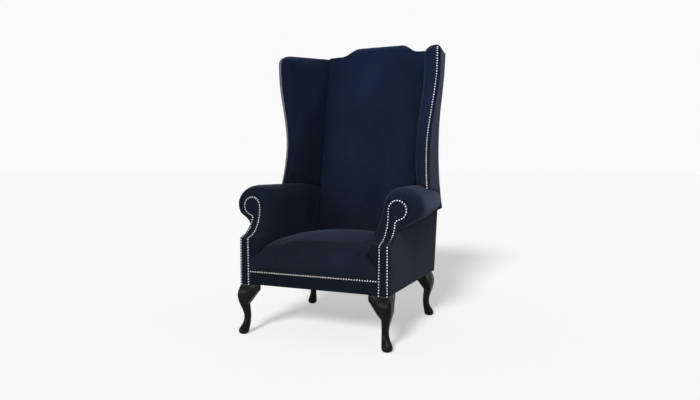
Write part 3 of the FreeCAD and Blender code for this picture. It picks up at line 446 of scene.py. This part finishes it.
def finish_pad(obj, node, fill):
    """A pad in velvet, with a finer surface."""
    dress(obj, "velvet")
    sub = obj.modifiers.new("fine", "SUBSURF")
    sub.levels = 1
    sub.render_levels = 1
    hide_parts(node)


def make_pads():
    """All pads. They swell together, and those on the sitter's right are copies."""
    made = []
    for node, name, voxel, rounds, slack, cap, fill in PADS:
        obj = even_copy(node, name, voxel, rounds)
        free = free_share(obj, node)
        keep_seams(obj, node, free)
        made.append((obj, node, free, slack, cap, fill))
    starts = [start_stuffing(obj, free, slack) for obj, node, free, slack, cap, fill in made]
    for step in range(1, CLOTH_STEPS + 1):
        scene.frame_set(step)
    for (obj, node, free, slack, cap, fill), (form, out) in zip(made, starts):
        end_stuffing(obj, form, out, free, cap)
    scene.frame_set(1)
    for obj, node, free, slack, cap, fill in made:
        finish_pad(obj, node, fill)
        if node.startswith("left_"):
            other = mirrored_copy(obj, obj.name.replace("left_", "right_"))
            finish_pad(other, node.replace("left_", "right_"), fill)


# Nails: a domed head on the place of each CAD head

# Least and greatest size as shares of the CAD head, height as a share of the radius, most lean, division
NAIL_SIZE = (0.80, 0.87)
NAIL_HEIGHT = 0.62
NAIL_LEAN = 0.05
NAIL_RINGS = 4
NAIL_SPOKES = 12

# How far out the covering is looked for, and how nearly it has to face the nail's own way
NAIL_REACH = 0.012
NAIL_FACING = 0.5

# Beyond which distance from the middle a row's nails are set in from their CAD places, and by how much
NAIL_INSETS = {
    "left_facing_studs": (0.325, 0.0025),
    "right_facing_studs": (0.325, 0.0025),
    "border_studs": (0.0, 0.0),
    "left_wing_studs": (0.0, 0.0),
    "right_wing_studs": (0.0, 0.0065),
}


def loose_groups(bm):
    """The points of each separate solid in a mesh."""
    bm.verts.ensure_lookup_table()
    seen = set()
    for seed in bm.verts:
        if seed.index in seen:
            continue
        group, queue = [], [seed]
        seen.add(seed.index)
        while queue:
            v = queue.pop()
            group.append(np.array(v.co))
            for e in v.link_edges:
                o = e.other_vert(v)
                if o.index not in seen:
                    seen.add(o.index)
                    queue.append(o)
        yield np.array(group)


def head_of(points):
    """Foot, outward direction and radius of a low cone, whose wide end is its foot."""
    spread = points - points.mean(0)
    axis = np.linalg.svd(spread, full_matrices=False)[2][2]
    along = spread @ axis
    low, high = points[along < 0], points[along > 0]
    wide_low = np.linalg.norm(low - low.mean(0), axis=1).mean()
    wide_high = np.linalg.norm(high - high.mean(0), axis=1).mean()
    foot, tip = (low, high) if wide_low > wide_high else (high, low)
    out = tip.mean(0) - foot.mean(0)
    return Vector(foot.mean(0)), Vector(out).normalized(), max(wide_low, wide_high)


def stud_places(node):
    """Foot, outward direction and radius of each nail head of a CAD node."""
    bm = bmesh.new()
    bm.from_mesh(nodes[node].data)
    bmesh.ops.remove_doubles(bm, verts=bm.verts, dist=WELD)
    found = [head_of(points) for points in loose_groups(bm)]
    bm.free()
    return found


def add_dome(bm, foot, turn, radius, height):
    """A closed domed head that stands on a point."""
    grid = []
    for k in range(NAIL_RINGS):
        a = 0.5 * math.pi * k / NAIL_RINGS
        wide = radius * math.cos(a)
        ring = []
        for s in range(NAIL_SPOKES):
            b = 2 * math.pi * s / NAIL_SPOKES
            local = Vector((wide * math.cos(b), wide * math.sin(b), height * math.sin(a)))
            ring.append(bm.verts.new(foot + turn @ local))
        grid.append(ring)
    top = bm.verts.new(foot + turn @ Vector((0, 0, height)))
    for low, high in zip(grid, grid[1:]):
        for s in range(NAIL_SPOKES):
            n = (s + 1) % NAIL_SPOKES
            bm.faces.new((low[s], low[n], high[n], high[s]))
    for s in range(NAIL_SPOKES):
        bm.faces.new((grid[-1][s], grid[-1][(s + 1) % NAIL_SPOKES], top))
    bm.faces.new(list(reversed(grid[0])))


def make_studs(node, name, seed, skin, beyond, inset):
    """Domed heads on a covering, set in from its edge where they lie beyond a distance from the middle."""
    rng = random.Random(seed)
    bm = bmesh.new()
    for foot, out, radius in stud_places(node):
        if abs(foot.x) > beyond:
            foot.x -= math.copysign(inset, foot.x)
        hit = skin.ray_cast(foot + out * NAIL_REACH, -out, 2 * NAIL_REACH)
        if hit[0] is not None and hit[1].dot(out) > NAIL_FACING:
            foot, out = hit[0], (hit[1] + out).normalized()
        lean = Vector((rng.uniform(-1, 1), rng.uniform(-1, 1), rng.uniform(-1, 1))) * NAIL_LEAN
        turn = (out + lean).normalized().to_track_quat("Z", "Y").to_matrix()
        r = radius * rng.uniform(*NAIL_SIZE)
        add_dome(bm, foot, turn, r, r * NAIL_HEIGHT)
    mesh = bpy.data.meshes.new(name)
    bm.to_mesh(mesh)
    bm.free()
    obj = dress(link(name, mesh), "nickel")
    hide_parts(node)


# Flat cuts: outlines and the triangles inside them, for sheets and facings

# Spacing of rows and clear strip along the edge as shares of the step, and what counts as no distance
ROW_SHARE = 0.866
EDGE_CLEAR = 0.55
SAME_POINT = 1e-7
TINY = 1e-12


def outline_of(mesh, out, lean=0.3):
    """Longest boundary loop of the faces that look along a direction."""
    kept = [p for p in mesh.polygons if p.normal.dot(out) > lean]
    uses = {}
    for p in kept:
        for key in p.edge_keys:
            uses[key] = uses.get(key, 0) + 1
    follow = {}
    for a, b in (key for key, n in uses.items() if n == 1):
        follow.setdefault(a, []).append(b)
        follow.setdefault(b, []).append(a)
    loops = []
    while follow:
        here = min(follow)
        loop = []
        while here is not None:
            loop.append(here)
            ahead = follow.pop(here)
            here = next((v for v in ahead if v in follow), None)
        loops.append([mesh.vertices[i].co.copy() for i in loop])
    return max(loops, key=round_length)


def round_length(points):
    """Length round a closed loop."""
    return sum((b - a).length for a, b in zip(points, points[1:] + points[:1]))


def divided(points, step):
    """A closed loop with points at most a step apart."""
    result = []
    for a, b in zip(points, points[1:] + points[:1]):
        n = max(1, int(math.ceil((b - a).length / step)))
        result += [a.lerp(b, k / n) for k in range(n)]
    return result


def edge_distance(points, loop):
    """How far flat points are from a closed loop."""
    a = np.array(loop)
    b = np.roll(a, -1, axis=0)
    d = b - a
    best = np.full(len(points), np.inf)
    for start, way in zip(a, d):
        t = np.clip(((points - start) @ way) / max(TINY, way @ way), 0, 1)
        best = np.minimum(best, np.linalg.norm(points - start - t[:, None] * way, axis=1))
    return best


def inside(points, loop):
    """Which flat points lie inside a closed loop."""
    found = np.zeros(len(points), bool)
    a = np.array(loop)
    for (x0, y0), (x1, y1) in zip(a, np.roll(a, -1, axis=0)):
        crosses = (y0 > points[:, 1]) != (y1 > points[:, 1])
        at = x0 + (points[:, 1] - y0) * (x1 - x0) / (y1 - y0 if y1 != y0 else TINY)
        found ^= crosses & (points[:, 0] < at)
    return found


def filled(loop, step):
    """Flat triangles inside a loop of 2-D points, about a step across."""
    flat = np.array(loop)
    low, high = flat.min(0), flat.max(0)
    rows = []
    for j in range(int((high[1] - low[1]) / (step * ROW_SHARE)) + 1):
        y = low[1] + j * step * ROW_SHARE
        shift = 0.5 * step if j % 2 else 0.0
        rows += [(x, y) for x in np.arange(low[0] + shift, high[0], step)]
    grid = np.array(rows)
    grid = grid[inside(grid, flat)]
    grid = grid[edge_distance(grid, flat) > EDGE_CLEAR * step]
    points = [Vector(p) for p in loop] + [Vector(p) for p in grid]
    edges = [(i, (i + 1) % len(loop)) for i in range(len(loop))]
    done = delaunay_2d_cdt(points, edges, [], 1, SAME_POINT)
    return np.array([tuple(v) for v in done[0]]), done[2]


def outward(loop):
    """Unit directions out of a closed flat loop, at its points."""
    flat = np.array(loop)
    way = np.roll(flat, -1, axis=0) - np.roll(flat, 1, axis=0)
    way /= np.maximum(np.linalg.norm(way, axis=1), TINY)[:, None]
    ahead = np.roll(flat, -1, axis=0)
    turn = np.sign(np.sum(flat[:, 0] * ahead[:, 1] - flat[:, 1] * ahead[:, 0]))
    return turn * np.stack([way[:, 1], -way[:, 0]], axis=1)


# Sheets: outside coverings, drawn tight over the frame

# Depth of the turned-in edge, how far an edge is drawn down and over which distance it fades
HEM = 0.004
EDGE_TUCK = 0.0008
TUCK_FADE = 0.004

# How far a lapped edge sinks as a share of its lap, how near is on the edge, and where a search starts
LAP_SINK = 0.5
ON_EDGE = 1e-5
SEARCH_FROM = 0.2

# How far the outside back leans, as depth per height
BACK_RAKE = 0.177


def turn_in(sheet, out):
    """A narrow hem along the edges of a sheet, against the way it faces."""
    bm = bmesh.new()
    bm.from_mesh(sheet)
    hem = bmesh.ops.extrude_edge_only(bm, edges=[e for e in bm.edges if e.is_boundary])
    for part in hem["geom"]:
        if isinstance(part, bmesh.types.BMVert):
            part.co -= out * HEM
    bm.to_mesh(sheet)
    bm.free()


def sheet_places(panel, loop, flat, points, axes, swell, rise, lap):
    """Where the points of a flat cut lie over a CAD panel: fuller by swell from a rise inside the edge,
    drawn down along it, and lapped under the pads at its front and top."""
    out, across, up = axes
    tree = BVHTree.FromPolygons([v.co for v in panel.vertices], [p.vertices for p in panel.polygons])
    ways = outward(flat)
    reach = max(p.dot(out) for p in loop) + SEARCH_FROM
    places = []
    for (x, y), d in zip(points, edge_distance(points, flat)):
        lift = out * (swell * (1 - math.exp(-d / rise)) - EDGE_TUCK * math.exp(-d / TUCK_FADE))
        if d < ON_EDGE:
            near = np.argmin(np.sum((np.array(flat) - (x, y)) ** 2, axis=1))
            fore = lap[0] * max(0.0, -ways[near][0])
            over = lap[1] * max(0.0, ways[near][1])
            sink = out * LAP_SINK * max(fore, over)
            places.append(loop[near] + lift + (up * over - across * fore - sink))
            continue
        start = across * x + up * y + out * reach
        hit = tree.ray_cast(start, -out)
        if hit[0] is None:
            hit = tree.find_nearest(start - out * SEARCH_FROM)
        places.append(hit[0] + lift)
    return places


def make_sheet(node, name, slot, out, across, up, step, swell, rise, lap):
    """A tight covering with a hem. Its lap is how far its front and top edges run under the pads."""
    axes = [Vector(way).normalized() for way in (out, across, up)]
    out, across, up = axes
    panel = welded(node)
    loop = divided(outline_of(panel, out), step)
    flat = [(p.dot(across), p.dot(up)) for p in loop]
    points, faces = filled(flat, step)
    places = sheet_places(panel, loop, flat, points, axes, swell, rise, lap)
    sheet = bpy.data.meshes.new(name)
    sheet.from_pydata([tuple(p) for p in places], [], [tuple(f) for f in faces])
    sheet.update()
    if sum(p.normal.dot(out) for p in sheet.polygons) < 0:
        sheet.flip_normals()
    turn_in(sheet, out)
    obj = dress(link(name, sheet), slot)
    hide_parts(node)


def make_arm_cover(side, sign):
    make_sheet(side + "_outside_arm", side + "_arm_cover", "velvet",
               out=(sign, 0, 0), across=(0, 1, 0), up=(0, 0, 1),
               step=0.012, swell=0.0006, rise=0.05, lap=(0.005, 0.005))


def make_wing_cover(side, sign):
    make_sheet(side + "_outside_wing", side + "_wing_cover", "velvet",
               out=(sign, 0, 0), across=(0, 1, 0), up=(0, 0, 1),
               step=0.010, swell=0.0030, rise=0.012, lap=(0.010, 0.0))


def make_back_cover():
    make_sheet("outside_back", "back_cover", "velvet",
               out=(0, 1, -BACK_RAKE), across=(1, 0, 0), up=(0, BACK_RAKE, 1),
               step=0.014, swell=0.0015, rise=0.05, lap=(0.0, 0.0))


def make_dust_sheet():
    make_sheet("dust_cover", "dust_sheet", "dust_cloth",
               out=(0, 0, -1), across=(1, 0, 0), up=(0, 1, 0),
               step=0.02, swell=-0.0008, rise=0.05, lap=(0.0, 0.0))


# Arm facings: padded panels on the swept fronts of the arms

# Mesh step, rounding of the corner, fullness and its rise, draw at the nails and its fade, and depth
FACING_STEP = 0.005
FACING_EASE = 0.005
FACING_SWELL = 0.0022
FACING_RISE = 0.010
FACING_TUCK = 0.0010
FACING_TUCK_FADE = 0.0025
FACING_DEPTH = 0.0030


def swept_length(z):
    """Distance up the swept front to a height."""
    if z <= KINK_Z:
        return z
    top = KINK_Z + SWEEP_RADIUS * KINK_ANGLE
    if z >= SWEEP_TOP:
        return top + z - SWEEP_TOP
    return top - SWEEP_RADIUS * math.asin((SWEEP_TOP - z) / SWEEP_RADIUS)


def swept_place(length):
    """Place and outward direction on the middle line of the swept front, at a distance up it."""
    angle = KINK_ANGLE - (length - KINK_Z) / SWEEP_RADIUS
    if length <= KINK_Z:
        return Vector((0, FRONT_Y, length)), Vector((0, -1, 0))
    rear = FRONT_Y + SWEEP_DEPTH
    if angle <= 0:
        return Vector((0, rear, SWEEP_TOP - SWEEP_RADIUS * angle)), Vector((0, -1, 0))
    middle = Vector((0, rear - SWEEP_RADIUS, SWEEP_TOP))
    out = Vector((0, -math.cos(angle), math.sin(angle)))
    return middle - out * SWEEP_RADIUS, out


def eased_place(length, reach):
    """The swept front with its corner rounded over a reach."""
    spots = [swept_place(length + reach * k) for k in (-1.0, -0.5, 0.0, 0.5, 1.0)]
    place = sum((p for p, n in spots), Vector()) / len(spots)
    return place, sum((n for p, n in spots), Vector()).normalized()


def closed_panel(name, front, back, faces):
    """A mesh of a front, the same triangles behind it, and walls round the edge."""
    count = len(front)
    sides = {(f[i], f[(i + 1) % 3]) for f in faces for i in range(3)}
    walls = [(b, a, a + count, b + count) for a, b in sides if (b, a) not in sides]
    behind = [tuple(i + count for i in reversed(f)) for f in faces]
    mesh = bpy.data.meshes.new(name)
    mesh.from_pydata([tuple(p) for p in front + back], [], [tuple(f) for f in faces] + behind + walls)
    mesh.update()
    bm = bmesh.new()
    bm.from_mesh(mesh)
    bmesh.ops.recalc_face_normals(bm, faces=bm.faces)
    bm.to_mesh(mesh)
    bm.free()
    return mesh


def make_facing(node, name):
    """A thin stuffed panel: full in the middle, drawn down at the nails, closed behind."""
    outline = outline_of(welded(node), Vector((0, -1, 0)), lean=0.1)
    loop = [Vector((p.x, swept_length(p.z))) for p in outline]
    flat = divided(loop, FACING_STEP)
    points, faces = filled(flat, FACING_STEP)
    depth = edge_distance(points, flat)
    front, back = [], []
    for (x, length), d in zip(points, depth):
        place, out = eased_place(length, FACING_EASE)
        side = Vector((x, 0, 0))
        draw = FACING_TUCK * math.exp(-d / FACING_TUCK_FADE)
        lift = FACING_SWELL * (1 - math.exp(-d / FACING_RISE)) - draw
        front.append(side + place + out * lift)
        back.append(side + place - out * FACING_DEPTH)
    obj = dress(link(name, closed_panel(name, front, back, faces)), "velvet")
    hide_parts(node)


# Floor, light and camera

def seen_directly(tree):
    """1 for rays from the camera, less for reflections, and 0 for the light that falls on the chair."""
    path = add(tree, "ShaderNodeLightPath")
    shine = add(tree, "ShaderNodeMath", operation="MULTIPLY")
    shine.inputs[1].default_value = SHINE
    either = add(tree, "ShaderNodeMath", operation="MAXIMUM")
    tree.links.new(path.outputs["Is Glossy Ray"], shine.inputs[0])
    tree.links.new(path.outputs["Is Camera Ray"], either.inputs[0])
    tree.links.new(shine.outputs["Value"], either.inputs[1])
    return either.outputs["Value"]


def make_pale_floor():
    """Pale matt floor with a glow of its own, which brings it near the white of the sky."""
    mat = bpy.data.materials.new("pale_floor")
    mat.use_nodes = True
    tree = mat.node_tree
    tree.nodes.clear()
    output = add(tree, "ShaderNodeOutputMaterial")
    diffuse = add(tree, "ShaderNodeBsdfDiffuse")
    diffuse.inputs["Color"].default_value = (FLOOR_ALBEDO, FLOOR_ALBEDO, FLOOR_ALBEDO, 1.0)
    glow = add(tree, "ShaderNodeEmission")
    glow.inputs["Color"].default_value = (1.0, 1.0, 1.0, 1.0)
    seen = add(tree, "ShaderNodeMath", operation="MULTIPLY")
    seen.inputs[1].default_value = FLOOR_GLOW
    both = add(tree, "ShaderNodeAddShader")
    tree.links.new(seen_directly(tree), seen.inputs[0])
    tree.links.new(seen.outputs["Value"], glow.inputs["Strength"])
    tree.links.new(diffuse.outputs["BSDF"], both.inputs[0])
    tree.links.new(glow.outputs["Emission"], both.inputs[1])
    tree.links.new(both.outputs["Shader"], output.inputs["Surface"])
    return mat


def make_floor():
    """A wide flat floor, which takes the shadow."""
    mesh = bpy.data.meshes.new("floor")
    corners = [(x * FLOOR_REACH, y * FLOOR_REACH, 0) for x, y in ((-1, -1), (1, -1), (1, 1), (-1, 1))]
    mesh.from_pydata(corners, [], [(0, 1, 2, 3)])
    mesh.materials.append(make_pale_floor())
    obj = link("floor", mesh)
    return obj


def make_world():
    """An even sky: white to the camera, weak as light."""
    world = bpy.data.worlds.new("studio")
    world.use_nodes = True
    tree = world.node_tree
    background = tree.nodes["Background"]
    background.inputs["Color"].default_value = (1.0, 1.0, 1.0, 1.0)
    level = add(tree, "ShaderNodeMapRange")
    level.inputs["To Min"].default_value = SKY_STRENGTH
    level.inputs["To Max"].default_value = WHITE
    tree.links.new(seen_directly(tree), level.inputs["Value"])
    tree.links.new(level.outputs["Result"], background.inputs["Strength"])
    scene.world = world


def falls_on(lamp, pieces, state):
    """Keeps a light on some pieces, or off them."""
    group = bpy.data.collections.new(lamp.name + "_falls_on")
    for piece in pieces:
        group.objects.link(piece)
    for entry in group.collection_objects:
        entry.light_linking.link_state = state
    lamp.light_linking.receiver_collection = group


def hang(name, lamp, source):
    """A lamp that shines from a direction."""
    obj = bpy.data.objects.new(name, lamp)
    obj.rotation_euler = source.to_track_quat("Z", "Y").to_euler()
    scene.collection.objects.link(obj)
    return obj


def make_sun(name, strength, source, angle, colour):
    lamp = bpy.data.lights.new(name, "SUN")
    lamp.energy = strength
    lamp.angle = math.radians(angle)
    lamp.color = colour
    return hang(name, lamp, source)


def make_lights(floor):
    """A key in front of the chair, weak suns on parts of it, and a sun for the floor and its shadow."""
    lamp = bpy.data.lights.new("key", "AREA")
    lamp.energy = KEY_WATTS
    lamp.size = KEY_SIZE
    key = hang("key", lamp, KEY_AT - KEY_AIM)
    key.location = KEY_AT
    falls_on(key, [floor], "EXCLUDE")
    falls_on(make_sun("front", *FRONT_SUN), [floor], "EXCLUDE")
    falls_on(make_sun("rear", *REAR_SUN), [floor], "EXCLUDE")
    legs = [node for name, node in nodes.items() if name.endswith(("_leg", "_knee_brackets"))]
    wings = [bpy.data.objects[side + "_wing_cover"] for side, sign in SIDES]
    falls_on(make_sun("side", *SIDE_SUN), [floor] + legs + wings, "EXCLUDE")
    falls_on(make_sun("top", *TOP_SUN), [bpy.data.objects[name] for name in HIGH_PIECES], "INCLUDE")
    falls_on(make_sun("deep", *DEEP_SUN), [bpy.data.objects[name] for name in DEEP_PIECES], "INCLUDE")
    falls_on(make_sun("floor_sun", *FLOOR_SUN), [floor], "INCLUDE")


def make_camera():
    """The photograph's viewpoint."""
    data = bpy.data.cameras.new("camera")
    data.sensor_fit = "HORIZONTAL"
    data.sensor_width = CAMERA_SENSOR
    data.lens = CAMERA_LENS
    obj = bpy.data.objects.new("camera", data)
    a, e = math.radians(CAMERA_TURN), math.radians(CAMERA_RISE)
    back = Vector((math.sin(a) * math.cos(e), -math.cos(a) * math.cos(e), math.sin(e)))
    obj.location = CAMERA_AT
    obj.rotation_mode = "QUATERNION"
    obj.rotation_quaternion = (-back).to_track_quat("-Z", "Y")
    scene.collection.objects.link(obj)
    scene.camera = obj


def write_sizes():
    """Brings the scene up to date."""
    bpy.context.view_layer.update()


# The whole scene

scene.view_settings.view_transform = "Standard"
make_world()
make_camera()
dress_nodes()
make_pads()
for side, sign in SIDES:
    make_arm_cover(side, sign)
    make_wing_cover(side, sign)
make_back_cover()
make_dust_sheet()
for side, sign in SIDES:
    make_facing(side + "_arm_facing", side + "_facing_panel")
covering = search_tree(SOFT_PIECES)
for number, (row, (beyond, inset)) in enumerate(NAIL_INSETS.items()):
    make_studs(row, row.replace("studs", "nails"), number, covering, beyond, inset)
make_lights(make_floor())
write_sizes()
